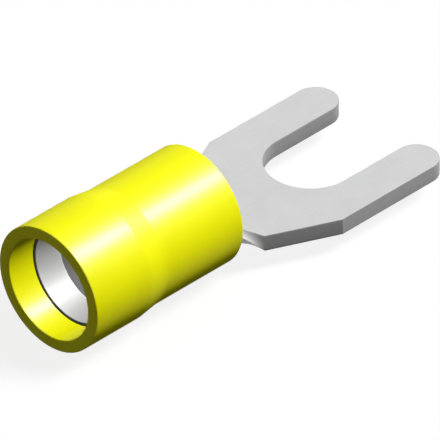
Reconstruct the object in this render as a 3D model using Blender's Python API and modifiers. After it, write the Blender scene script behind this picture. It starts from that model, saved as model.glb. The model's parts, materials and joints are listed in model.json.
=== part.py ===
# Insulated fork terminal: a nylon sleeve, its metal support sleeve and the rolled and punched terminal.
# Lengths run from the face of the wire mouth, along X, to the tips of the fork. Z is up, units are metres.
import math

import bmesh
import bpy

MM = 0.001

# Terminal: one piece of sheet, rolled into a barrel at one end and punched as a fork at the other
SHEET_THICKNESS = 1.0 * MM
BARREL_OUTER_RADIUS = 2.67 * MM
BARREL_START = 3.5 * MM
BARREL_END = 11.0 * MM
SEAM_GAP = 0.05 * MM
ENTRY_CONE_DEPTH = 1.08 * MM
ENTRY_RIM = 0.06 * MM
TONGUE_STEP_UP = 0.15 * MM
WAIST_FROM_BARREL = 2.53 * MM
WAIST_WIDTH = 6.62 * MM
SHOULDER_LENGTH = 4.17 * MM
FORK_WIDTH = 10.45 * MM
SLOT_WIDTH = 5.3 * MM
SLOT_BOTTOM_FROM_SHOULDER = 0.06 * MM
PRONG_REACH = 4.4 * MM

# Support sleeve: thin drawn tube that lines the nylon
SUPPORT_START = 1.8 * MM
SUPPORT_END = 11.2 * MM
SUPPORT_WALL = 0.17 * MM

# Insulating sleeve: moulded tube with a wider mouth
SLEEVE_LENGTH = 11.5 * MM
SLEEVE_WALL = 0.745 * MM
SLEEVE_EDGE_RADIUS = 0.06 * MM
MOUTH_STEP = 0.183 * MM
OUTER_TAPER_START = 4.21 * MM
OUTER_TAPER_LENGTH = 1.38 * MM
BORE_TAPER_START = 2.55 * MM
BORE_TAPER_LENGTH = 0.9 * MM

# Radial clearance between one tube and the next
TUBE_CLEARANCE = 0.025 * MM

# Fineness of the round shapes
STEPS_ROUND = 64
STEPS_EDGE = 3
STEPS_NECK = 5
CUT_MARGIN = 1.0 * MM

# Radii of the nested tubes, worked out from the barrel
SUPPORT_INNER_RADIUS = BARREL_OUTER_RADIUS + TUBE_CLEARANCE
SUPPORT_OUTER_RADIUS = SUPPORT_INNER_RADIUS + SUPPORT_WALL
SLEEVE_INNER_RADIUS = SUPPORT_OUTER_RADIUS + TUBE_CLEARANCE
SLEEVE_OUTER_RADIUS = SLEEVE_INNER_RADIUS + SLEEVE_WALL
MOUTH_OUTER_RADIUS = SLEEVE_OUTER_RADIUS + MOUTH_STEP

# Heights of the tongue's faces, measured from the barrel's axis
TONGUE_UNDERSIDE = -BARREL_OUTER_RADIUS + TONGUE_STEP_UP
TONGUE_TOP = TONGUE_UNDERSIDE + SHEET_THICKNESS

# Places along the terminal
WAIST = BARREL_END + WAIST_FROM_BARREL
SHOULDER = WAIST + SHOULDER_LENGTH
PRONG_WIDTH = (FORK_WIDTH - SLOT_WIDTH) / 2
SLOT_CENTRE = SHOULDER + SLOT_BOTTOM_FROM_SHOULDER + SLOT_WIDTH / 2
PRONG_TIP_CENTRE = SLOT_CENTRE + PRONG_REACH
FORK_TIP = PRONG_TIP_CENTRE + PRONG_WIDTH / 2


def clear_scene():
    for old in list(bpy.data.objects):
        bpy.data.objects.remove(old, do_unlink=True)


def new_collection(name):
    group = bpy.data.collections.new(name)
    bpy.context.scene.collection.children.link(group)
    return group


def new_material(name, colour, metallic, roughness):
    material = bpy.data.materials.new(name)
    material.use_nodes = True
    shader = material.node_tree.nodes["Principled BSDF"]
    shader.inputs["Base Color"].default_value = (*colour, 1.0)
    shader.inputs["Metallic"].default_value = metallic
    shader.inputs["Roughness"].default_value = roughness
    material.diffuse_color = (*colour, 1.0)
    return material


def new_object(name, data, group, parent):
    made = bpy.data.objects.new(name, data)
    group.objects.link(made)
    made.parent = parent
    return made


def arc(centre_x, centre_y, radius, start, end, steps):
    # Points on a circle from one angle to another, in degrees
    points = []
    for step in range(steps + 1):
        angle = math.radians(start + (end - start) * step / steps)
        points.append((centre_x + radius * math.cos(angle), centre_y + radius * math.sin(angle)))
    return points


def round_corners(corners, radius):
    # Each corner gives its point and the directions to its two neighbours along the outline
    points = []
    for (r, x), (from_r, from_x), (to_r, to_x) in corners:
        centre_r = r + radius * (from_r + to_r)
        centre_x = x + radius * (from_x + to_x)
        for step in range(STEPS_EDGE + 1):
            angle = math.pi / 2 * step / STEPS_EDGE
            points.append((
                centre_r - radius * (to_r * math.cos(angle) + from_r * math.sin(angle)),
                centre_x - radius * (to_x * math.cos(angle) + from_x * math.sin(angle)),
            ))
    return points


def turned_tube(name, profile, group, parent, material):
    # The profile is a closed loop of (radius, place along the axis), turned about the tube's axis
    mesh = bpy.data.meshes.new(name)
    outline = bmesh.new()
    corners = [outline.verts.new((radius, 0.0, along)) for radius, along in profile]
    for first, second in zip(corners, corners[1:] + corners[:1]):
        outline.edges.new((first, second))
    outline.to_mesh(mesh)
    outline.free()
    tube = new_object(name, mesh, group, parent)
    tube.rotation_euler = (0.0, math.pi / 2, 0.0)
    screw = tube.modifiers.new("turn", "SCREW")
    screw.axis = "Z"
    screw.steps = STEPS_ROUND
    screw.render_steps = STEPS_ROUND
    screw.use_merge_vertices = True
    screw.merge_threshold = 0.000001
    screw.use_smooth_shade = True
    mesh.materials.append(material)
    return tube


def insulating_sleeve(group, parent, material):
    mouth_inner = SLEEVE_INNER_RADIUS + MOUTH_STEP
    edge = SLEEVE_EDGE_RADIUS
    profile = round_corners([((MOUTH_OUTER_RADIUS, 0.0), (-1, 0), (0, 1))], edge)
    profile.append((MOUTH_OUTER_RADIUS, OUTER_TAPER_START))
    profile.append((SLEEVE_OUTER_RADIUS, OUTER_TAPER_START + OUTER_TAPER_LENGTH))
    profile += round_corners([((SLEEVE_OUTER_RADIUS, SLEEVE_LENGTH), (0, -1), (-1, 0))], edge)
    profile += round_corners([((SLEEVE_INNER_RADIUS, SLEEVE_LENGTH), (1, 0), (0, -1))], edge)
    profile.append((SLEEVE_INNER_RADIUS, BORE_TAPER_START + BORE_TAPER_LENGTH))
    profile.append((mouth_inner, BORE_TAPER_START))
    profile += round_corners([((mouth_inner, 0.0), (0, 1), (1, 0))], edge)
    return turned_tube("insulating_sleeve", profile[::-1], group, parent, material)


def support_sleeve(group, parent, material):
    taper_end = BORE_TAPER_START + BORE_TAPER_LENGTH
    profile = [
        (SUPPORT_OUTER_RADIUS + MOUTH_STEP, SUPPORT_START),
        (SUPPORT_OUTER_RADIUS + MOUTH_STEP, BORE_TAPER_START),
        (SUPPORT_OUTER_RADIUS, taper_end),
        (SUPPORT_OUTER_RADIUS, SUPPORT_END),
        (SUPPORT_INNER_RADIUS, SUPPORT_END),
        (SUPPORT_INNER_RADIUS, taper_end),
        (SUPPORT_INNER_RADIUS + MOUTH_STEP, BORE_TAPER_START),
        (SUPPORT_INNER_RADIUS + MOUTH_STEP, SUPPORT_START),
    ]
    return turned_tube("support_sleeve", profile[::-1], group, parent, material)


def barrel_stations():
    # Place along the axis and bore radius: the coned wire entry, then the plain bore
    bore = BARREL_OUTER_RADIUS - SHEET_THICKNESS
    return [
        (BARREL_START, BARREL_OUTER_RADIUS - ENTRY_RIM),
        (BARREL_START + ENTRY_CONE_DEPTH, bore),
        (BARREL_END, bore),
    ]


def sheet_point(station, column, bore, outside):
    # A point on the sheet's outer or inner face: rolled in the barrel, flat past the waist, blended between
    quarter = STEPS_ROUND // 4
    radius = BARREL_OUTER_RADIUS if outside else bore
    height = TONGUE_UNDERSIDE if outside else TONGUE_TOP
    angle = 2 * math.pi * column / STEPS_ROUND
    if abs(column) == STEPS_ROUND // 2:
        half_gap = SEAM_GAP / 2 / (BARREL_OUTER_RADIUS - SHEET_THICKNESS / 2)
        angle -= math.copysign(half_gap, column)
    rolled = min(1.0, max(0.0, (WAIST - station) / WAIST_FROM_BARREL))
    widening = min(1.0, max(0.0, (station - WAIST) / SHOULDER_LENGTH))
    half_width = WAIST_WIDTH / 2 + (FORK_WIDTH - WAIST_WIDTH) / 2 * widening
    flat_y = half_width * column / quarter
    y = rolled * radius * math.sin(angle) + (1 - rolled) * flat_y
    z = -rolled * radius * math.cos(angle) + (1 - rolled) * height
    return (station, y, z)


def rolled_sheet_mesh():
    # Two grids, the sheet's outer and inner faces, closed by a wall along every free edge
    stations = barrel_stations()
    bore = stations[-1][1]
    in_barrel = len(stations) - 1
    for step in range(1, STEPS_NECK + 1):
        stations.append((BARREL_END + WAIST_FROM_BARREL * step / STEPS_NECK, bore))
    stations.append((SHOULDER, bore))
    stations.append((FORK_TIP + CUT_MARGIN, bore))
    sheet = bmesh.new()
    corners = {}

    def corner(row, column, outside):
        key = (row, column, outside)
        if key not in corners:
            station, radius = stations[row]
            corners[key] = sheet.verts.new(sheet_point(station, column, radius, outside))
        return corners[key]

    cells = set()
    for row in range(len(stations) - 1):
        reach = STEPS_ROUND // 2 if row < in_barrel else STEPS_ROUND // 4
        cells.update((row, column) for column in range(-reach, reach))
    for row, column in sorted(cells):
        ring = [(row, column), (row + 1, column), (row + 1, column + 1), (row, column + 1)]
        beyond = [(row, column - 1), (row + 1, column), (row, column + 1), (row - 1, column)]
        for outside in (True, False):
            sheet.faces.new([corner(*at, outside) for at in ring])
        for side, neighbour in enumerate(beyond):
            if neighbour not in cells:
                one, two = ring[side], ring[(side + 1) % 4]
                wall = [corner(*one, True), corner(*two, True), corner(*two, False), corner(*one, False)]
                sheet.faces.new(wall)
    bmesh.ops.recalc_face_normals(sheet, faces=sheet.faces)
    mesh = bpy.data.meshes.new("terminal_body")
    sheet.to_mesh(mesh)
    sheet.free()
    mesh.shade_smooth()
    mesh.set_sharp_from_angle(angle=math.radians(30))
    return mesh


def past_tangent(points):
    # Runs the last chord of a prong's end on through the fork's side
    (x0, y0), (x1, y1) = points[-2:]
    return points + [(x1 + (x1 - x0), y1 + (y1 - y0))]


def fork_cutter(group, parent):
    # Outline of what the punch takes away: the stud slot and all that lies beyond the rounded tips
    prong_y = (SLOT_WIDTH + PRONG_WIDTH) / 2
    prong_radius = PRONG_WIDTH / 2
    wide = FORK_WIDTH / 2 + CUT_MARGIN
    far = FORK_TIP + 2 * CUT_MARGIN
    upper_tip = past_tangent(arc(PRONG_TIP_CENTRE, prong_y, prong_radius, -90, 90, STEPS_ROUND // 4))
    lower_tip = [(x, -y) for x, y in reversed(upper_tip)]
    slot = arc(SLOT_CENTRE, 0.0, SLOT_WIDTH / 2, 270, 90, STEPS_ROUND // 2)
    outer = [(upper_tip[-1][0], wide), (far, wide), (far, -wide), (upper_tip[-1][0], -wide)]
    outline = slot + upper_tip + outer + lower_tip

    curve = bpy.data.curves.new("fork_outline", "CURVE")
    curve.dimensions = "2D"
    curve.fill_mode = "BOTH"
    curve.extrude = SHEET_THICKNESS / 2 + CUT_MARGIN
    spline = curve.splines.new("POLY")
    spline.points.add(len(outline) - 1)
    for point, (x, y) in zip(spline.points, outline):
        point.co = (x, y, 0.0, 1.0)
    spline.use_cyclic_u = True
    flat = new_object("fork_outline", curve, group, parent)
    flat.location = (0.0, 0.0, (TONGUE_TOP + TONGUE_UNDERSIDE) / 2)
    bpy.context.view_layer.update()

    graph = bpy.context.evaluated_depsgraph_get()
    mesh = bpy.data.meshes.new_from_object(flat.evaluated_get(graph))
    solid = bmesh.new()
    solid.from_mesh(mesh)
    bmesh.ops.remove_doubles(solid, verts=solid.verts, dist=0.000001)
    bmesh.ops.recalc_face_normals(solid, faces=solid.faces)
    solid.to_mesh(mesh)
    solid.free()
    cutter = bpy.data.objects.new("fork_cutter", mesh)
    group.objects.link(cutter)
    cutter.matrix_world = flat.matrix_world
    bpy.data.objects.remove(flat, do_unlink=True)
    cutter.hide_render = True
    cutter.display_type = "WIRE"
    return cutter


def terminal_body(group, parent, material, cutter):
    mesh = rolled_sheet_mesh()
    mesh.materials.append(material)
    body = new_object("terminal_body", mesh, group, parent)
    cut = body.modifiers.new("punch", "BOOLEAN")
    cut.operation = "DIFFERENCE"
    cut.solver = "EXACT"
    cut.object = cutter
    return body


def main():
    clear_scene()
    parts = new_collection("fork_terminal")
    cutters = new_collection("cutters")

    # The empty sits on the barrel's axis at the wire mouth, so that the part rests on its sleeve
    mouth = new_object("wire_mouth", None, parts, None)
    mouth.location = (-FORK_TIP / 2, 0.0, MOUTH_OUTER_RADIUS)
    mouth.empty_display_size = SLEEVE_WALL
    bpy.context.view_layer.update()

    yellow_nylon = new_material("yellow_nylon", (1.0, 1.0, 0.0), 0.0, 0.4)
    tinned_copper = new_material("tinned_copper", (0.65, 0.65, 0.65), 1.0, 0.45)
    plated_lining = new_material("plated_lining", (0.75, 0.75, 0.75), 1.0, 0.35)

    insulating_sleeve(parts, mouth, yellow_nylon)
    support_sleeve(parts, mouth, plated_lining)
    cutter = fork_cutter(cutters, mouth)
    terminal_body(parts, mouth, tinned_copper, cutter)


main()
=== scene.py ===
import json
import math

import bmesh
import bpy
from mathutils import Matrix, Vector


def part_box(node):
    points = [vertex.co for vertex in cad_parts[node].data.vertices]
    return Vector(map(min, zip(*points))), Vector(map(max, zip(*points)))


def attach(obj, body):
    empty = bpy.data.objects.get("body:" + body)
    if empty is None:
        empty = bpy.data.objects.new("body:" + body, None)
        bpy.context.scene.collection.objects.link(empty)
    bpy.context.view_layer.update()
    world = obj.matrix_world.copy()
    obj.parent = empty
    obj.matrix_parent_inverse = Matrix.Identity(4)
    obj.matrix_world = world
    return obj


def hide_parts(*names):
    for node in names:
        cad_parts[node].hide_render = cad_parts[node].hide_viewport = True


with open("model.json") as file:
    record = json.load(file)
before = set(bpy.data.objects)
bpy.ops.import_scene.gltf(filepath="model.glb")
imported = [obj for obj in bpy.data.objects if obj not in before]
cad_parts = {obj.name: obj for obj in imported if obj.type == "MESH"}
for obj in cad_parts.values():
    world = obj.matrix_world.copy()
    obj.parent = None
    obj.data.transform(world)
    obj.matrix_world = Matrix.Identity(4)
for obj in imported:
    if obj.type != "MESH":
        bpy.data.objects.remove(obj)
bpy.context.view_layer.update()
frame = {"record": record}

# Insulated fork terminal: moulded nylon sleeve, drawn metal lining, rolled and punched terminal
mm = 0.001

# Places that the pieces share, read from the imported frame
sleeveLow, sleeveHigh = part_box("insulating_sleeve")
liningLow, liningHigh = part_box("support_sleeve")
bodyLow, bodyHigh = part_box("terminal_body")
mountPlace = {mount["name"]: Vector(mount["pos_m"]) for mount in frame["record"]["mounts"]}
mouthX = sleeveLow.x
axisZ = (sleeveLow.z + sleeveHigh.z) / 2
tongueTop = mountPlace["tongue_top"].z
tongueUnderside = mountPlace["tongue_underside"].z

# Where Blender's Mix node keeps its colour sockets
mixFirst, mixSecond, mixResult = 6, 7, 2


# Node helpers
def addNode(tree, kind, **settings):
    node = tree.nodes.new(kind)
    for key, value in settings.items():
        setattr(node, key, value)
    return node


def feed(tree, socket, value):
    # A socket takes either a link or a plain value
    if isinstance(value, bpy.types.NodeSocket):
        tree.links.new(value, socket)
    else:
        socket.default_value = value


def calc(tree, operation, first, second=0.0, third=0.0, clamp=False):
    node = addNode(tree, "ShaderNodeMath", operation=operation, use_clamp=clamp)
    for socket, value in zip(node.inputs, (first, second, third)):
        feed(tree, socket, value)
    return node.outputs["Value"]


def scaled(tree, value, share):
    return calc(tree, "MULTIPLY", value, share)


def swung(tree, value, middle, swing):
    # Turns 0 to 1 into a swing about a middle value
    return calc(tree, "MULTIPLY_ADD", value, swing, middle - swing / 2)


def mapValue(tree, value, fromLow, fromHigh, toLow=0.0, toHigh=1.0):
    node = addNode(tree, "ShaderNodeMapRange", clamp=True)
    for socket, given in zip(node.inputs, (value, fromLow, fromHigh, toLow, toHigh)):
        feed(tree, socket, given)
    return node.outputs["Result"]


def mixColour(tree, share, first, second):
    node = addNode(tree, "ShaderNodeMix", data_type="RGBA")
    feed(tree, node.inputs["Factor"], share)
    feed(tree, node.inputs[mixFirst], first)
    feed(tree, node.inputs[mixSecond], second)
    return node.outputs[mixResult]


def noiseAt(tree, place, scale, detail, roughness=0.5):
    node = addNode(tree, "ShaderNodeTexNoise")
    feed(tree, node.inputs["Vector"], place)
    feed(tree, node.inputs["Scale"], scale)
    feed(tree, node.inputs["Detail"], detail)
    feed(tree, node.inputs["Roughness"], roughness)
    return node.outputs["Fac"]


def stretched(tree, place, sizeX, sizeY, sizeZ):
    # The place divided by a size along each axis, so that a noise of scale 1 has grains of that size
    split = addNode(tree, "ShaderNodeSeparateXYZ")
    feed(tree, split.inputs["Vector"], place)
    joined = addNode(tree, "ShaderNodeCombineXYZ")
    for source, size, target in zip(split.outputs, (sizeX, sizeY, sizeZ), joined.inputs):
        feed(tree, target, calc(tree, "DIVIDE", source, size))
    return joined.outputs["Vector"]


def arrange(tree, ending):
    # Lays the nodes out in columns, by how far each one is from the end
    columnWidth, rowHeight = 230, 190
    column = {ending: 0}
    queue = [ending]
    while queue:
        node = queue.pop(0)
        for socket in node.inputs:
            for link in socket.links:
                if column.get(link.from_node, -1) < column[node] + 1:
                    column[link.from_node] = column[node] + 1
                    queue.append(link.from_node)
    filled = {}
    for node, place in column.items():
        filled[place] = filled.get(place, 0) + 1
        node.location = (-columnWidth * place, -rowHeight * filled[place])


def seenDirectly(tree):
    # 1 for rays from the eye and for those that metal and gloss send on, 0 for the light that the object gets
    path = addNode(tree, "ShaderNodeLightPath")
    eyeOrGloss = calc(tree, "ADD", path.outputs["Is Camera Ray"], path.outputs["Is Glossy Ray"])
    return calc(tree, "ADD", eyeOrGloss, path.outputs["Is Transmission Ray"], clamp=True)


# Shader node groups, each one effect that several materials share
def startGroup(name, inputs, outputs):
    group = bpy.data.node_groups.new(name, "ShaderNodeTree")
    for label, kind, value in inputs:
        socket = group.interface.new_socket(name=label, in_out="INPUT", socket_type="NodeSocket" + kind)
        socket.default_value = value
    for label, kind in outputs:
        group.interface.new_socket(name=label, in_out="OUTPUT", socket_type="NodeSocket" + kind)
    entry = addNode(group, "NodeGroupInput")
    leave = addNode(group, "NodeGroupOutput")
    return group, entry.outputs, leave


def useGroup(tree, group, **values):
    node = addNode(tree, "ShaderNodeGroup", node_tree=group)
    for label, value in values.items():
        feed(tree, node.inputs[label], value)
    return node.outputs


def makeCloudyPatches():
    # Slow change of colour from one place to the next
    noiseLow, noiseHigh = 0.3, 0.7        # nearly all of a noise lies between these
    group, given, leave = startGroup("cloudyPatches", [
        ("place", "Vector", (0, 0, 0)),
        ("patchSize", "Float", 1.0),
        ("contrast", "Float", 1.0),
        ("light", "Color", (1, 1, 1, 1)),
        ("dark", "Color", (0, 0, 0, 1)),
    ], [("colour", "Color"), ("patch", "Float")])
    scale = calc(group, "DIVIDE", 1.0, given["patchSize"])
    cloud = noiseAt(group, given["place"], scale, detail=3.0, roughness=0.55)
    swing = mapValue(group, cloud, noiseLow, noiseHigh, -0.5, 0.5)
    patch = calc(group, "MULTIPLY_ADD", swing, given["contrast"], 0.5, clamp=True)
    feed(group, leave.inputs["colour"], mixColour(group, patch, given["dark"], given["light"]))
    feed(group, leave.inputs["patch"], patch)
    arrange(group, leave)
    return group


def makeDrawnLines():
    # Fine lines that run along X: flow lines of a moulding, or what rolls, dies and punches leave on metal
    crestLow, crestHigh = 0.56, 0.74      # only the crests of the noise count as lines
    group, given, leave = startGroup("drawnLines", [
        ("place", "Vector", (0, 0, 0)),
        ("run", "Float", 5.0),
        ("spacing", "Float", 0.1),
    ], [("height", "Float"), ("line", "Float")])
    place = stretched(group, given["place"], given["run"], given["spacing"], given["spacing"])
    height = noiseAt(group, place, 1.0, detail=3.0, roughness=0.6)
    feed(group, leave.inputs["height"], height)
    feed(group, leave.inputs["line"], mapValue(group, height, crestLow, crestHigh))
    arrange(group, leave)
    return group


def makeHandlingMarks():
    # Sparse thin scratches, in clusters, that run the way turn points them
    bareLevel, coverDrop = 0.86, 0.16     # the noise has to pass the first, less the second at full coverage
    markSoftness = 0.03
    clusterScale, clusterLow, clusterHigh = 0.45, 0.45, 0.6
    group, given, leave = startGroup("handlingMarks", [
        ("place", "Vector", (0, 0, 0)),
        ("turn", "Vector", (0, 0, 0)),
        ("length", "Float", 2.0),
        ("width", "Float", 0.05),
        ("coverage", "Float", 0.5),
    ], [("mark", "Float")])
    turned = addNode(group, "ShaderNodeVectorRotate", rotation_type="EULER_XYZ")
    feed(group, turned.inputs["Vector"], given["place"])
    feed(group, turned.inputs["Rotation"], given["turn"])
    place = stretched(group, turned.outputs["Vector"], given["length"], given["width"], given["width"])
    streak = noiseAt(group, place, 1.0, detail=0.0)
    low = calc(group, "MULTIPLY_ADD", given["coverage"], -coverDrop, bareLevel)
    thin = mapValue(group, streak, low, calc(group, "ADD", low, markSoftness))
    cluster = noiseAt(group, given["place"], clusterScale, detail=1.0)
    gathered = mapValue(group, cluster, clusterLow, clusterHigh)
    feed(group, leave.inputs["mark"], calc(group, "MULTIPLY", thin, gathered))
    arrange(group, leave)
    return group


def makeSkinGrain():
    # The fine uneven skin of a moulding or a plated sheet, with a few small pits
    chosenLow, chosenHigh = 0.70, 0.95    # few cells have a pit, and some of those a faint one
    pitInner, pitOuter = 0.03, 0.10       # shares of a cell
    group, given, leave = startGroup("skinGrain", [
        ("place", "Vector", (0, 0, 0)),
        ("grainSize", "Float", 0.3),
        ("pitSpacing", "Float", 0.8),
    ], [("height", "Float"), ("pit", "Float")])
    grain = noiseAt(group, given["place"], calc(group, "DIVIDE", 1.0, given["grainSize"]), detail=2.0)
    cells = addNode(group, "ShaderNodeTexVoronoi", feature="F1")
    feed(group, cells.inputs["Vector"], given["place"])
    feed(group, cells.inputs["Scale"], calc(group, "DIVIDE", 1.0, given["pitSpacing"]))
    split = addNode(group, "ShaderNodeSeparateColor")
    feed(group, split.inputs["Color"], cells.outputs["Color"])
    chosen = mapValue(group, split.outputs["Red"], chosenLow, chosenHigh)
    near = mapValue(group, cells.outputs["Distance"], pitInner, pitOuter, 1.0, 0.0)
    pit = calc(group, "MULTIPLY", chosen, near)
    feed(group, leave.inputs["height"], calc(group, "SUBTRACT", grain, pit))
    feed(group, leave.inputs["pit"], pit)
    arrange(group, leave)
    return group


def makeEdgeRub():
    # Broken wear along the edges that the mesh marks
    bareLevel, rubDrop, rubSoftness = 0.75, 0.5, 0.2
    group, given, leave = startGroup("edgeRub", [
        ("place", "Vector", (0, 0, 0)),
        ("edge", "Float", 0.0),
        ("patchSize", "Float", 0.5),
        ("amount", "Float", 0.5),
    ], [("rub", "Float")])
    scale = calc(group, "DIVIDE", 1.0, given["patchSize"])
    cloud = noiseAt(group, given["place"], scale, detail=3.0, roughness=0.6)
    low = calc(group, "MULTIPLY_ADD", given["amount"], -rubDrop, bareLevel)
    broken = mapValue(group, cloud, low, calc(group, "ADD", low, rubSoftness))
    feed(group, leave.inputs["rub"], calc(group, "MULTIPLY", broken, given["edge"]))
    arrange(group, leave)
    return group


cloudyPatches = makeCloudyPatches()
drawnLines = makeDrawnLines()
handlingMarks = makeHandlingMarks()
skinGrain = makeSkinGrain()
edgeRub = makeEdgeRub()
print("shader groups made")


# Materials. Sizes of grains, patches and marks are in millimetres.
def startMaterial(name):
    material = bpy.data.materials.new(name)
    material.use_nodes = True
    tree = material.node_tree
    tree.nodes.clear()
    ending = addNode(tree, "ShaderNodeOutputMaterial")
    shader = addNode(tree, "ShaderNodeBsdfPrincipled")
    feed(tree, ending.inputs["Surface"], shader.outputs["BSDF"])
    return material, tree, shader, ending


def placeInMm(tree):
    where = addNode(tree, "ShaderNodeTexCoord")
    scale = addNode(tree, "ShaderNodeVectorMath", operation="SCALE")
    feed(tree, scale.inputs["Vector"], where.outputs["Object"])
    scale.inputs["Scale"].default_value = 1 / mm
    return scale.outputs["Vector"]


def meshMark(tree, name):
    # A value that the mesh carries, such as which faces are worn edges
    return addNode(tree, "ShaderNodeAttribute", attribute_name=name).outputs["Fac"]


def dullAtRim(tree, rough, look):
    # Gloss fades towards the rims, where a smooth surface would mirror the pale room
    weight = addNode(tree, "ShaderNodeLayerWeight")
    weight.inputs["Blend"].default_value = 0.5
    fade = mapValue(tree, weight.outputs["Facing"], look["fadeFrom"], look["fadeTo"])
    return calc(tree, "MAXIMUM", rough, fade)


def addBump(tree, shader, height, depth):
    bump = addNode(tree, "ShaderNodeBump")
    bump.inputs["Strength"].default_value = 1.0
    bump.inputs["Distance"].default_value = depth
    feed(tree, bump.inputs["Height"], height)
    feed(tree, shader.inputs["Normal"], bump.outputs["Normal"])


nylonSettings = {
    "colour": (0.985, 0.975, 0.000, 1.0),
    "deepColour": (0.955, 0.935, 0.000, 1.0),
    "scuffColour": (1.000, 0.980, 0.160, 1.0),
    "roughness": 0.40,
    "roughSwing": 0.08,
    "scuffRoughness": 0.12,
    "gloss": 0.08,                        # specular level
    "fadeFrom": 0.40,                     # how far the surface turns away before its gloss fades
    "fadeTo": 0.65,
    "patches": {"patchSize": 2.4, "contrast": 0.9},
    "flow": {"run": 7.0, "spacing": 0.45},
    "skin": {"grainSize": 0.34, "pitSpacing": 1.3},
    "marks": {"turn": (0.2, 0.3, 0.5), "length": 4.0, "width": 0.05, "coverage": 0.35},
    "rub": {"patchSize": 0.7, "amount": 0.55},
    "markShare": 0.45,
    "scuffShare": 0.5,
    "flowHeight": 0.6,
    "markDepth": 0.3,
    "bumpDepth": 0.004 * mm,
}


def makeNylon():
    look = nylonSettings
    material, tree, shader, ending = startMaterial("yellowNylon")
    place = placeInMm(tree)
    patches = useGroup(tree, cloudyPatches, place=place, light=look["colour"], dark=look["deepColour"],
                       **look["patches"])
    flow = useGroup(tree, drawnLines, place=place, **look["flow"])
    skin = useGroup(tree, skinGrain, place=place, **look["skin"])
    marks = useGroup(tree, handlingMarks, place=place, **look["marks"])
    rub = useGroup(tree, edgeRub, place=place, edge=meshMark(tree, "edgeWear"), **look["rub"])
    scuffed = calc(tree, "MAXIMUM", scaled(tree, marks["mark"], look["markShare"]), rub["rub"])
    scuffShare = scaled(tree, scuffed, look["scuffShare"])
    feed(tree, shader.inputs["Base Color"],
         mixColour(tree, scuffShare, patches["colour"], look["scuffColour"]))
    rough = swung(tree, flow["height"], look["roughness"], look["roughSwing"])
    rough = calc(tree, "MULTIPLY_ADD", scuffed, look["scuffRoughness"], rough)
    feed(tree, shader.inputs["Roughness"], dullAtRim(tree, rough, look))
    shader.inputs["Specular IOR Level"].default_value = look["gloss"]
    height = calc(tree, "MULTIPLY_ADD", flow["height"], look["flowHeight"], skin["height"])
    height = calc(tree, "MULTIPLY_ADD", marks["mark"], -look["markDepth"], height)
    addBump(tree, shader, height, look["bumpDepth"])
    arrange(tree, ending)
    return material


tinSettings = {
    "colour": (0.668, 0.668, 0.671, 1.0),
    "deepColour": (0.625, 0.625, 0.627, 1.0),
    "lineColour": (0.560, 0.560, 0.563, 1.0),
    "pitColour": (0.300, 0.300, 0.300, 1.0),
    "markColour": (0.740, 0.740, 0.740, 1.0),
    "metallic": 0.25,
    "roughness": 0.40,
    "roughSwing": 0.16,
    "markPolish": 0.05,
    "gloss": 0.30,
    "patches": {"patchSize": 1.8, "contrast": 0.9},
    "grain": {"run": 4.5, "spacing": 0.11},
    "skin": {"grainSize": 0.12, "pitSpacing": 0.9},
    "marks": {"turn": (0.1, 0.2, 0.9), "length": 2.6, "width": 0.045, "coverage": 0.65},
    "lineShare": 0.35,
    "pitShare": 0.35,
    "markShare": 0.5,
    "grainHeight": 0.7,
    "skinHeight": 0.5,
    "markDepth": 0.6,
    "bumpDepth": 0.0025 * mm,
}


def makeTinPlate():
    look = tinSettings
    material, tree, shader, ending = startMaterial("tinPlate")
    place = placeInMm(tree)
    patches = useGroup(tree, cloudyPatches, place=place, light=look["colour"], dark=look["deepColour"],
                       **look["patches"])
    grain = useGroup(tree, drawnLines, place=place, **look["grain"])
    skin = useGroup(tree, skinGrain, place=place, **look["skin"])
    marks = useGroup(tree, handlingMarks, place=place, **look["marks"])
    colour = patches["colour"]
    for amount, share, tint in ((grain["line"], "lineShare", "lineColour"),
                                (skin["pit"], "pitShare", "pitColour"),
                                (marks["mark"], "markShare", "markColour")):
        colour = mixColour(tree, scaled(tree, amount, look[share]), colour, look[tint])
    feed(tree, shader.inputs["Base Color"], colour)
    shader.inputs["Metallic"].default_value = look["metallic"]
    shader.inputs["Specular IOR Level"].default_value = look["gloss"]
    rough = swung(tree, grain["height"], look["roughness"], look["roughSwing"])
    rough = calc(tree, "MULTIPLY_ADD", marks["mark"], -look["markPolish"], rough)
    feed(tree, shader.inputs["Roughness"], rough)
    skinHeight = scaled(tree, skin["height"], look["skinHeight"])
    height = calc(tree, "MULTIPLY_ADD", grain["height"], look["grainHeight"], skinHeight)
    height = calc(tree, "MULTIPLY_ADD", marks["mark"], -look["markDepth"], height)
    addBump(tree, shader, height, look["bumpDepth"])
    arrange(tree, ending)
    return material


shearAndShadeSettings = {
    # Cut colours darker than the plate: partly bare cut metal, partly painted shade on the walls
    "shadedCutColour": (0.450, 0.450, 0.452, 1.0),
    "shadedTornColour": (0.390, 0.390, 0.390, 1.0),
    # the next colour is a painted highlight on the outer half of the neck's cut
    "neckHighlightColour": (0.780, 0.780, 0.783, 1.0),
    "metallic": 0.06,
    "roughness": 0.50,
    "tornRoughness": 0.12,
    "gloss": 0.25,
    "tearFrom": 0.58,                     # share of the thickness that the punch cut cleanly
    "tearSoftness": 0.05,
    "raggedScale": 2.2,
    "raggedSwing": 0.36,
    "patches": {"patchSize": 0.7, "contrast": 0.6},
    "lines": {"run": 1.6, "spacing": 0.07},
    "skin": {"grainSize": 0.09, "pitSpacing": 0.35},
    "tornShare": 0.6,
    "bumpDepth": 0.004 * mm,
}


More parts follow.
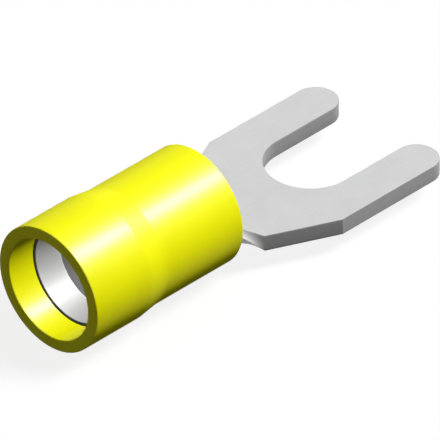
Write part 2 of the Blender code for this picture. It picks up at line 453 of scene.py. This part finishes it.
def makeShearedEdgeWithShade():
    # The punch leaves a clean band with upright lines, then a rougher torn band below; both are coloured
    # darker than the plate, partly bare cut metal and partly painted shade on the walls.
    # A painted highlight brightens the outer half of the neck's cut, where the twisting neck would catch the
    # light.
    look = shearAndShadeSettings
    material, tree, shader, ending = startMaterial("shearedEdgeWithShade")
    place = placeInMm(tree)
    split = addNode(tree, "ShaderNodeSeparateXYZ")
    feed(tree, split.inputs["Vector"], place)
    upright = addNode(tree, "ShaderNodeCombineXYZ")
    for source, target in zip(("Z", "X", "Y"), upright.inputs):
        feed(tree, target, split.outputs[source])
    lines = useGroup(tree, drawnLines, place=upright.outputs["Vector"], **look["lines"])
    skin = useGroup(tree, skinGrain, place=place, **look["skin"])
    ragged = swung(tree, noiseAt(tree, place, look["raggedScale"], detail=2.0), 0.0, look["raggedSwing"])
    depth = calc(tree, "ADD", meshMark(tree, "sheetDepth"), ragged)
    softness = look["tearSoftness"]
    torn = mapValue(tree, depth, look["tearFrom"] - softness, look["tearFrom"] + softness)
    patches = useGroup(tree, cloudyPatches, place=place, light=look["shadedCutColour"], dark=look["shadedTornColour"],
                       **look["patches"])
    cut = mixColour(tree, scaled(tree, torn, look["tornShare"]), patches["colour"], look["shadedTornColour"])
    # Painted highlight: the cut is mixed towards a bright colour where the mesh marks the neck
    feed(tree, shader.inputs["Base Color"],
         mixColour(tree, meshMark(tree, "paintedNeckHighlight"), cut, look["neckHighlightColour"]))
    shader.inputs["Metallic"].default_value = look["metallic"]
    feed(tree, shader.inputs["Roughness"],
         calc(tree, "MULTIPLY_ADD", torn, look["tornRoughness"], look["roughness"]))
    shader.inputs["Specular IOR Level"].default_value = look["gloss"]
    smooth = calc(tree, "MULTIPLY", lines["height"], calc(tree, "SUBTRACT", 1.0, torn))
    coarse = calc(tree, "MULTIPLY", skin["height"], torn)
    addBump(tree, shader, calc(tree, "ADD", smooth, coarse), look["bumpDepth"])
    arrange(tree, ending)
    return material


brightSettings = {
    "colour": (0.750, 0.750, 0.755, 1.0),
    "deepColour": (0.715, 0.715, 0.717, 1.0),
    "lineColour": (0.600, 0.600, 0.600, 1.0),
    "metallic": 0.32,
    "roughness": 0.60,
    "roughSwing": 0.14,
    "patches": {"patchSize": 1.5, "contrast": 0.8},
    "lines": {"run": 6.0, "spacing": 0.12},
    "marks": {"turn": (0.0, 0.1, 0.1), "length": 3.0, "width": 0.05, "coverage": 0.6},
    "lineShare": 0.25,
    "markDepth": 0.5,
    "bumpDepth": 0.002 * mm,
}


def makeBrightLining():
    look = brightSettings
    material, tree, shader, ending = startMaterial("brightLining")
    place = placeInMm(tree)
    patches = useGroup(tree, cloudyPatches, place=place, light=look["colour"], dark=look["deepColour"],
                       **look["patches"])
    lines = useGroup(tree, drawnLines, place=place, **look["lines"])
    marks = useGroup(tree, handlingMarks, place=place, **look["marks"])
    lineShare = scaled(tree, lines["line"], look["lineShare"])
    feed(tree, shader.inputs["Base Color"], mixColour(tree, lineShare, patches["colour"], look["lineColour"]))
    shader.inputs["Metallic"].default_value = look["metallic"]
    rough = swung(tree, lines["height"], look["roughness"], look["roughSwing"])
    feed(tree, shader.inputs["Roughness"], rough)
    height = calc(tree, "MULTIPLY_ADD", marks["mark"], -look["markDepth"], lines["height"])
    addBump(tree, shader, height, look["bumpDepth"])
    arrange(tree, ending)
    return material


shadedRimSettings = {
    # painted shade: the end faces of the tube are coloured dark
    "colour": (0.180, 0.180, 0.184, 1.0),
    "deepColour": (0.130, 0.130, 0.132, 1.0),
    "metallic": 0.20,
    "roughness": 0.55,
    "patchRoughness": 0.1,
    "patches": {"patchSize": 0.4, "contrast": 1.2},
    "skin": {"grainSize": 0.06, "pitSpacing": 0.3},
    "bumpDepth": 0.003 * mm,
}


def makeShadedRim():
    # The sawn end of the drawn tube, dull, with painted shade: its dark colour stands for the shade on a face
    # turned from the light
    look = shadedRimSettings
    material, tree, shader, ending = startMaterial("shadedRim")
    place = placeInMm(tree)
    patches = useGroup(tree, cloudyPatches, place=place, light=look["colour"], dark=look["deepColour"],
                       **look["patches"])
    skin = useGroup(tree, skinGrain, place=place, **look["skin"])
    feed(tree, shader.inputs["Base Color"], patches["colour"])
    shader.inputs["Metallic"].default_value = look["metallic"]
    feed(tree, shader.inputs["Roughness"],
         calc(tree, "MULTIPLY_ADD", patches["patch"], look["patchRoughness"], look["roughness"]))
    addBump(tree, shader, skin["height"], look["bumpDepth"])
    arrange(tree, ending)
    return material


yellowNylon = makeNylon()
tinPlate = makeTinPlate()
shearedEdgeWithShade = makeShearedEdgeWithShade()
brightLining = makeBrightLining()
shadedRim = makeShadedRim()
print("materials made")


# Mesh helpers. The collections say which lamps reach which pieces.
sharpFrom = 35.0                          # degrees, edges that turn more than this stay crisp
pieceGroup = bpy.data.collections.new("forkTerminal")
nylonGroup = bpy.data.collections.new("nylon")
liningGroup = bpy.data.collections.new("lining")
stageGroup = bpy.data.collections.new("stage")
for group in (pieceGroup, stageGroup):
    bpy.context.scene.collection.children.link(group)
for group in (nylonGroup, liningGroup):
    pieceGroup.children.link(group)


def roundedProfile(corners):
    # Each corner is (x, radius, rounding, steps, worn, finish of the rounding, finish of the strip after it).
    # Gives the points of the closed profile, each with the wear and finish of the strip that follows it.
    points = []
    for index, (x, radius, rounding, steps, worn, roundFinish, stripFinish) in enumerate(corners):
        at = Vector((x, radius))
        before = (Vector(corners[index - 1][:2]) - at).normalized()
        after = (Vector(corners[(index + 1) % len(corners)][:2]) - at).normalized()
        half = before.angle(after) / 2
        centre = at + (before + after).normalized() * (rounding / math.sin(half))
        first = at + before * (rounding / math.tan(half)) - centre
        last = at + after * (rounding / math.tan(half)) - centre
        sweep = math.pi - 2 * half
        for step in range(steps + 1):
            share = step / steps
            arm = (first * math.sin((1 - share) * sweep) + last * math.sin(share * sweep)) / math.sin(sweep)
            isLast = step == steps
            points.append((*(centre + arm), 0.0 if isLast else worn, stripFinish if isLast else roundFinish))
    return points


def turnedMesh(name, profile, columns):
    made = bmesh.new()
    wearLayer = made.faces.layers.float.new("edgeWear")
    rings = []
    for x, radius, worn, finish in profile:
        ring = []
        for column in range(columns):
            angle = 2 * math.pi * column / columns
            ring.append(made.verts.new((x, radius * math.sin(angle), axisZ - radius * math.cos(angle))))
        rings.append(ring)
    for index, (x, radius, worn, finish) in enumerate(profile):
        ring, nextRing = rings[index], rings[(index + 1) % len(rings)]
        for column in range(columns):
            beside = (column + 1) % columns
            face = made.faces.new((ring[column], ring[beside], nextRing[beside], nextRing[column]))
            face[wearLayer] = worn
            face.material_index = finish
    bmesh.ops.recalc_face_normals(made, faces=made.faces)
    mesh = bpy.data.meshes.new(name)
    made.to_mesh(mesh)
    made.free()
    return mesh


def finishPiece(name, mesh, materials, node, group):
    mesh.shade_smooth()
    mesh.set_sharp_from_angle(angle=math.radians(sharpFrom))
    for material in materials:
        mesh.materials.append(material)
    piece = bpy.data.objects.new(name, mesh)
    group.objects.link(piece)
    weighted = piece.modifiers.new("even shading", "WEIGHTED_NORMAL")
    weighted.keep_sharp = True
    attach(piece, "root")
    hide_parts(node)
    print("made", name, "with", len(mesh.polygons), "faces")


# Insulating sleeve: a moulded tube with a wider mouth
sleeveSettings = {
    "backStep": 0.183 * mm,               # the back is this much less in radius than the mouth
    "wall": 0.745 * mm,
    "taperStart": 4.21 * mm,
    "taperLength": 1.38 * mm,
    "boreTaperStart": 1.95 * mm,
    "boreTaperLength": 1.5 * mm,
    "edgeRound": 0.07 * mm,
    "taperRound": 0.9 * mm,
    "columns": 256,
    "edgeSteps": 5,
    "taperSteps": 3,
}


def makeSleeve():
    look = sleeveSettings
    outer = (sleeveHigh.z - sleeveLow.z) / 2
    backOuter = outer - look["backStep"]
    inner = outer - look["wall"]
    backInner = inner - look["backStep"]
    taperX = mouthX + look["taperStart"]
    boreX = mouthX + look["boreTaperStart"]
    edge = (look["edgeRound"], look["edgeSteps"], 1.0, 0, 0)
    blend = (look["taperRound"], look["taperSteps"], 0.0, 0, 0)
    profile = roundedProfile([
        (mouthX, outer, *edge),
        (taperX, outer, *blend),
        (taperX + look["taperLength"], backOuter, *blend),
        (sleeveHigh.x, backOuter, *edge),
        (sleeveHigh.x, backInner, *edge),
        (boreX + look["boreTaperLength"], backInner, *blend),
        (boreX, inner, *blend),
        (mouthX, inner, *edge),
    ])
    mesh = turnedMesh("insulatingSleeve", profile, look["columns"])
    materials = [yellowNylon]
    finishPiece("insulatingSleeve", mesh, materials, "insulating_sleeve", nylonGroup)


# Support sleeve: the thin drawn tube that lines the nylon
liningSettings = {
    "wall": 0.17 * mm,
    "mouthWall": 0.205 * mm,              # the drawn rim is a little thicker
    "rimRound": 0.05 * mm,
    "columns": 192,
    "rimSteps": 3,
    "taperSteps": 3,
    "taperRound": 1.2 * mm,
}


def makeLining():
    look = liningSettings
    step = sleeveSettings["backStep"]
    boreX = mouthX + sleeveSettings["boreTaperStart"]
    boreEnd = boreX + sleeveSettings["boreTaperLength"]
    outer = (liningHigh.z - liningLow.z) / 2
    inner = outer - look["mouthWall"]
    backInner = outer - step - look["wall"]
    rim = (look["rimRound"], look["rimSteps"], 1.0, 1)
    blend = (look["taperRound"], look["taperSteps"], 0.0, 0, 0)
    profile = roundedProfile([
        (liningLow.x, outer, *rim, 0),
        (boreX, outer, *blend),
        (boreEnd, outer - step, *blend),
        (liningHigh.x, outer - step, *rim, 1),
        (liningHigh.x, backInner, *rim, 0),
        (boreEnd, backInner, *blend),
        (boreX, inner, *blend),
        (liningLow.x, inner, *rim, 1),
    ])
    mesh = turnedMesh("supportSleeve", profile, look["columns"])
    # The end faces of the tube take the painted shade
    materials = [brightLining, shadedRim]
    finishPiece("supportSleeve", mesh, materials, "support_sleeve", liningGroup)


# Terminal: one sheet, rolled to a barrel at one end, punched as a fork at the other
terminalSettings = {
    "barrelLength": 7.5 * mm,
    "seamGap": 0.05 * mm,
    "coneDepth": 1.08 * mm,
    "coneRim": 0.06 * mm,
    "coneBlend": 0.08 * mm,
    "neckLength": 2.53 * mm,
    "waistWidth": 6.62 * mm,
    "shoulderLength": 4.17 * mm,
    "shoulderRound": 0.15 * mm,
    "slotWidth": 5.3 * mm,
    "slotFromShoulder": 0.06 * mm,
    "punchRound": 0.02 * mm,
    "burrRound": 0.012 * mm,
    "columns": 128,
    "coneRows": 4,
    "neckRows": 24,
    "shoulderSteps": 3,
    "tipSteps": 40,
    "slotSteps": 72,
    "wallSteps": 6,
    "edgeSegments": 2,
}


def sheetRows(look):
    # Rows across the sheet: place along X, outer and inner radius, and how far the sheet is still rolled
    outer = (bodyHigh.z - bodyLow.z) / 2
    bore = outer - (tongueTop - tongueUnderside)
    start = bodyLow.x
    barrelEnd = start + look["barrelLength"]
    slope = (outer - look["coneRim"] - bore) / look["coneDepth"]
    blend = look["coneBlend"]
    chamfer = look["coneRim"] / 2
    rows = [
        (start, outer - chamfer, outer - look["coneRim"], 1.0),
        (start + chamfer, outer, outer - look["coneRim"] - slope * chamfer, 1.0),
    ]
    for step in range(look["coneRows"] + 1):
        share = step / look["coneRows"]
        x = start + look["coneDepth"] + blend * (2 * share - 1)
        rows.append((x, outer, bore + slope * blend * (1 - share) ** 2, 1.0))
    rows.append((barrelEnd, outer, bore, 1.0))
    barrelRows = len(rows) - 1
    for step in range(1, look["neckRows"] + 1):
        share = step / look["neckRows"]
        rows.append((barrelEnd + look["neckLength"] * share, outer, bore, 1 - share))
    return rows, barrelRows


def sheetPoint(look, row, column, isOuter):
    x, outer, bore, rolled = row
    radius = outer if isOuter else bore
    height = tongueUnderside if isOuter else tongueTop
    angle = 2 * math.pi * column / look["columns"]
    if abs(column) == look["columns"] // 2:
        angle -= math.copysign(look["seamGap"] / (outer + bore), column)
    flatY = look["waistWidth"] / 2 * column / (look["columns"] // 4)
    y = rolled * radius * math.sin(angle) + (1 - rolled) * flatY
    z = rolled * (axisZ - radius * math.cos(angle)) + (1 - rolled) * height
    return (x, y, z)


def arcPoints(centreX, centreY, radius, start, end, steps):
    points = []
    for step in range(steps + 1):
        angle = math.radians(start + (end - start) * step / steps)
        points.append((centreX + radius * math.cos(angle), centreY + radius * math.sin(angle)))
    return points


def forkOutline(look):
    # From one end of the waist round both prongs and the slot to the other end
    waistX = bodyLow.x + look["barrelLength"] + look["neckLength"]
    shoulderX = waistX + look["shoulderLength"]
    halfWidth = bodyHigh.y
    halfWaist = look["waistWidth"] / 2
    prongRadius = (halfWidth - look["slotWidth"] / 2) / 2
    prongY = halfWidth - prongRadius
    tipX = bodyHigh.x - prongRadius
    slotX = shoulderX + look["slotFromShoulder"] + look["slotWidth"] / 2
    lean = math.atan2(halfWidth - halfWaist, look["shoulderLength"])
    rounding = look["shoulderRound"]
    back = rounding * math.tan(lean / 2)
    shoulder = arcPoints(shoulderX + back, halfWidth - rounding, rounding,
                         90 + math.degrees(lean), 90, look["shoulderSteps"])
    tip = arcPoints(tipX, prongY, prongRadius, 90, -90, look["tipSteps"])
    halfSlot = arcPoints(slotX, 0.0, look["slotWidth"] / 2, 90, 180, look["slotSteps"] // 2)
    side = shoulder + tip + halfSlot
    return side + [(x, -y) for x, y in reversed(side[:-1])]


def makeTerminal():
    look = terminalSettings
    rows, barrelRows = sheetRows(look)
    coneEndRow = 1 + look["coneRows"]
    halfRing, quarterRing = look["columns"] // 2, look["columns"] // 4
    made = bmesh.new()
    depthLayer = made.verts.layers.float.new("sheetDepth")
    # This layer carries a painted highlight on the neck's cut walls
    neckHighlightLayer = made.verts.layers.float.new("paintedNeckHighlight")
    corners = {}
    wallCorners = {}

    def addCorner(place, isOuter, rolled=0.0):
        corner = made.verts.new(place)
        corner[depthLayer] = 1.0 if isOuter else 0.0
        # Painted highlight, strongest half way along the neck
        corner[neckHighlightLayer] = 4 * rolled * (1 - rolled) if isOuter else 0.0
        return corner

    def corner(row, column, isOuter):
        key = (row, column, isOuter)
        if key not in corners:
            corners[key] = addCorner(sheetPoint(look, rows[row], column, isOuter), isOuter, rows[row][3])
        return corners[key]

    def addFace(around, finish):
        face = made.faces.new(around)
        face.material_index = finish

    def wallCorner(outer, inner, step):
        # A corner of the cut wall, some steps up from the underside
        share = step / look["wallSteps"]
        if share in (0, 1):
            return inner if share else outer
        if (outer, step) not in wallCorners:
            part = made.verts.new(outer.co.lerp(inner.co, share))
            part[depthLayer] = 1 - share
            # The painted highlight fades towards the top of the wall
            part[neckHighlightLayer] = outer[neckHighlightLayer] * (1 - share)
            wallCorners[outer, step] = part
        return wallCorners[outer, step]

    def addWall(outer, nextOuter, inner, nextInner):
        for step in range(look["wallSteps"]):
            addFace([wallCorner(outer, inner, step), wallCorner(nextOuter, nextInner, step),
                     wallCorner(nextOuter, nextInner, step + 1), wallCorner(outer, inner, step + 1)], 1)

    # Barrel and neck: an outer and an inner skin, closed along the free edges
    cells = set()
    for row in range(len(rows) - 1):
        reach = halfRing if row < barrelRows else quarterRing
        cells.update((row, column) for column in range(-reach, reach))
    lastRow = len(rows) - 1
    for row, column in sorted(cells):
        ring = [(row, column), (row + 1, column), (row + 1, column + 1), (row, column + 1)]
        beyond = [(row, column - 1), (row + 1, column), (row, column + 1), (row - 1, column)]
        addFace([corner(*at, True) for at in ring], 0)
        # The barrel's inner cone takes the darker cut colour too, partly painted shade at the entry
        addFace([corner(*at, False) for at in ring], 1 if row < coneEndRow else 0)
        for side, neighbour in enumerate(beyond):
            one, two = ring[side], ring[(side + 1) % 4]
            opensToTongue = one[0] == lastRow and two[0] == lastRow
            if neighbour not in cells and not opensToTongue:
                addWall(corner(*one, True), corner(*two, True), corner(*one, False), corner(*two, False))

    # Tongue: flat top and underside, with a wall round the punched outline
    outline = forkOutline(look)
    skins = {}
    for isOuter, height in ((True, tongueUnderside), (False, tongueTop)):
        waist = [corner(lastRow, column, isOuter) for column in range(-quarterRing, quarterRing + 1)]
        rim = [addCorner((x, y, height), isOuter) for x, y in outline]
        addFace(waist + rim, 0)
        skins[isOuter] = [waist[-1]] + rim + [waist[0]]
    for index in range(len(outline) + 1):
        addWall(skins[True][index], skins[True][index + 1], skins[False][index], skins[False][index + 1])
    bmesh.ops.recalc_face_normals(made, faces=made.faces)

    # The punch rounds the top edge a little and leaves the lower one sharper
    for isOuter, rounding in ((False, look["punchRound"]), (True, look["burrRound"])):
        pairs = list(zip(skins[isOuter], skins[isOuter][1:]))
        for row in range(barrelRows + 1, lastRow):
            for column in (-quarterRing, quarterRing):
                pairs.append((corner(row, column, isOuter), corner(row + 1, column, isOuter)))
        edges = [made.edges.get(pair) for pair in pairs]
        rolled = bmesh.ops.bevel(made, geom=edges, offset=rounding, offset_type="OFFSET", affect="EDGES",
                                 segments=look["edgeSegments"], profile=0.5, clamp_overlap=False, material=-1)
        # The rounded edges take the darker cut colour, painted shade that keeps them from showing a bright
        # line
        for face in rolled["faces"]:
            face.material_index = 1
    mesh = bpy.data.meshes.new("terminalBody")
    made.to_mesh(mesh)
    made.free()
    materials = [tinPlate, shearedEdgeWithShade]
    finishPiece("terminalBody", mesh, materials, "terminal_body", pieceGroup)


# The stage: a pale floor, the camera and the lamps
floorSettings = {
    "size": 8.0,
    "segments": 8,
    "colour": (0.18, 0.18, 0.18, 1.0),
    "deepColour": (0.17, 0.17, 0.17, 1.0),
    "patches": {"patchSize": 40.0, "contrast": 0.3},
    "roughness": 0.9,
    "glow": 0.845,                        # tops the lit floor up to white for the eye and for reflections
}


def makeFloorMaterial():
    look = floorSettings
    material, tree, shader, ending = startMaterial("paleFloor")
    place = placeInMm(tree)
    patches = useGroup(tree, cloudyPatches, place=place, light=look["colour"], dark=look["deepColour"],
                       **look["patches"])
    feed(tree, shader.inputs["Base Color"], patches["colour"])
    shader.inputs["Roughness"].default_value = look["roughness"]
    shader.inputs["Specular IOR Level"].default_value = 0.0
    shader.inputs["Emission Color"].default_value = (1.0, 1.0, 1.0, 1.0)
    feed(tree, shader.inputs["Emission Strength"], scaled(tree, seenDirectly(tree), look["glow"]))
    # From below the floor is clear, so that the underside of the object can be seen
    clear = addNode(tree, "ShaderNodeBsdfTransparent")
    sides = addNode(tree, "ShaderNodeMixShader")
    feed(tree, sides.inputs["Fac"], addNode(tree, "ShaderNodeNewGeometry").outputs["Backfacing"])
    feed(tree, sides.inputs[1], shader.outputs["BSDF"])
    feed(tree, sides.inputs[2], clear.outputs["BSDF"])
    feed(tree, ending.inputs["Surface"], sides.outputs["Shader"])
    arrange(tree, ending)
    return material


def makeFloor():
    look = floorSettings
    segments = look["segments"]
    made = bmesh.new()
    bmesh.ops.create_grid(made, x_segments=segments, y_segments=segments, size=look["size"] / 2)
    mesh = bpy.data.meshes.new("floor")
    made.to_mesh(mesh)
    made.free()
    mesh.materials.append(makeFloorMaterial())
    floor = bpy.data.objects.new("floor", mesh)
    stageGroup.objects.link(floor)


cameraSettings = {
    "lens": 1500.0,                       # a long lens, so the view is all but parallel
    "sensor": 36.0,
    "azimuth": -44.9976,
    "elevation": 35.3469,
    "distance": 1013.28 * mm,
    "aim": (0.308 * mm, 0.035 * mm, 1.7933 * mm),
    "clipStart": 0.05,
    "clipEnd": 6.0,
}


def makeCamera():
    look = cameraSettings
    data = bpy.data.cameras.new("camera")
    data.lens = look["lens"]
    data.sensor_width = look["sensor"]
    data.clip_start = look["clipStart"]
    data.clip_end = look["clipEnd"]
    camera = bpy.data.objects.new("camera", data)
    bpy.context.scene.collection.objects.link(camera)
    turn, rise = math.radians(look["azimuth"]), math.radians(look["elevation"])
    back = Vector((math.sin(turn) * math.cos(rise), -math.cos(turn) * math.cos(rise), math.sin(rise)))
    camera.location = Vector(look["aim"]) + back * look["distance"]
    camera.rotation_euler = back.to_track_quat("Z", "Y").to_euler()
    bpy.context.scene.camera = camera


lightSettings = {
    "towardsKey": (0.497, -0.387, 0.776),
    "towardsShine": (0.497, -0.312, 0.810),
    "towardsFill": (0.62, 0.62, -0.48),
    "keyStrength": 3.45,
    "keyAngle": 9.0,                      # degrees, softens the rim of the highlight
    "nylonShine": 30.5,                   # lamps that are seen in gloss only
    "liningShine": 3.45,
    "fillStrength": 1.3,                  # reaches the sides that the photograph's view doesn't show
    "fillAngle": 24.0,
    "floorStrength": 3.1,
    "floorAngle": 24.0,                   # a wider lamp, so that the shadow is soft
    "ambient": 0.15,
    "background": 1.0,
}


def makeSun(name, towards, strength, angle, receivers, castsShadow=False, glossOnly=False):
    # Each lamp reaches the pieces of one collection, and either lights their colour or shows in their gloss
    data = bpy.data.lights.new(name, "SUN")
    data.energy = strength
    data.angle = math.radians(angle)
    data.use_shadow = castsShadow
    data.cycles.use_multiple_importance_sampling = castsShadow
    data.cycles.max_bounces = 0
    sun = bpy.data.objects.new(name, data)
    bpy.context.scene.collection.objects.link(sun)
    sun.rotation_euler = Vector(towards).to_track_quat("Z", "Y").to_euler()
    sun.light_linking.receiver_collection = receivers
    sun.visible_glossy = glossOnly
    sun.visible_diffuse = not glossOnly


def makeLight():
    # The key reaches every surface that faces it, inside the mouth too; its twin lays the shadow on the floor
    look = lightSettings
    key, shine, fill = look["towardsKey"], look["towardsShine"], look["towardsFill"]
    makeSun("keyLight", key, look["keyStrength"], look["keyAngle"], pieceGroup)
    makeSun("fillLight", fill, look["fillStrength"], look["fillAngle"], pieceGroup)
    makeSun("floorLight", key, look["floorStrength"], look["floorAngle"], stageGroup, castsShadow=True)
    makeSun("nylonShine", shine, look["nylonShine"], look["keyAngle"], nylonGroup, glossOnly=True)
    makeSun("liningShine", key, look["liningShine"], look["keyAngle"], liningGroup, glossOnly=True)

    world = bpy.data.worlds.new("studio")
    bpy.context.scene.world = world
    world.use_nodes = True
    tree = world.node_tree
    tree.nodes.clear()
    backdrop = addNode(tree, "ShaderNodeBackground")
    backdrop.inputs["Color"].default_value = (1.0, 1.0, 1.0, 1.0)
    level = mapValue(tree, seenDirectly(tree), 0.0, 1.0, look["ambient"], look["background"])
    feed(tree, backdrop.inputs["Strength"], level)
    ending = addNode(tree, "ShaderNodeOutputWorld")
    feed(tree, ending.inputs["Surface"], backdrop.outputs["Background"])
    arrange(tree, ending)


makeSleeve()
makeLining()
makeTerminal()
makeFloor()
makeCamera()
makeLight()
bpy.context.scene.view_settings.view_transform = "Standard"
# With the light tree on, a lamp now and then misses a piece that it is linked to
bpy.context.scene.cycles.use_light_tree = False
print("floor, camera and light set")

bpy.context.view_layer.update()
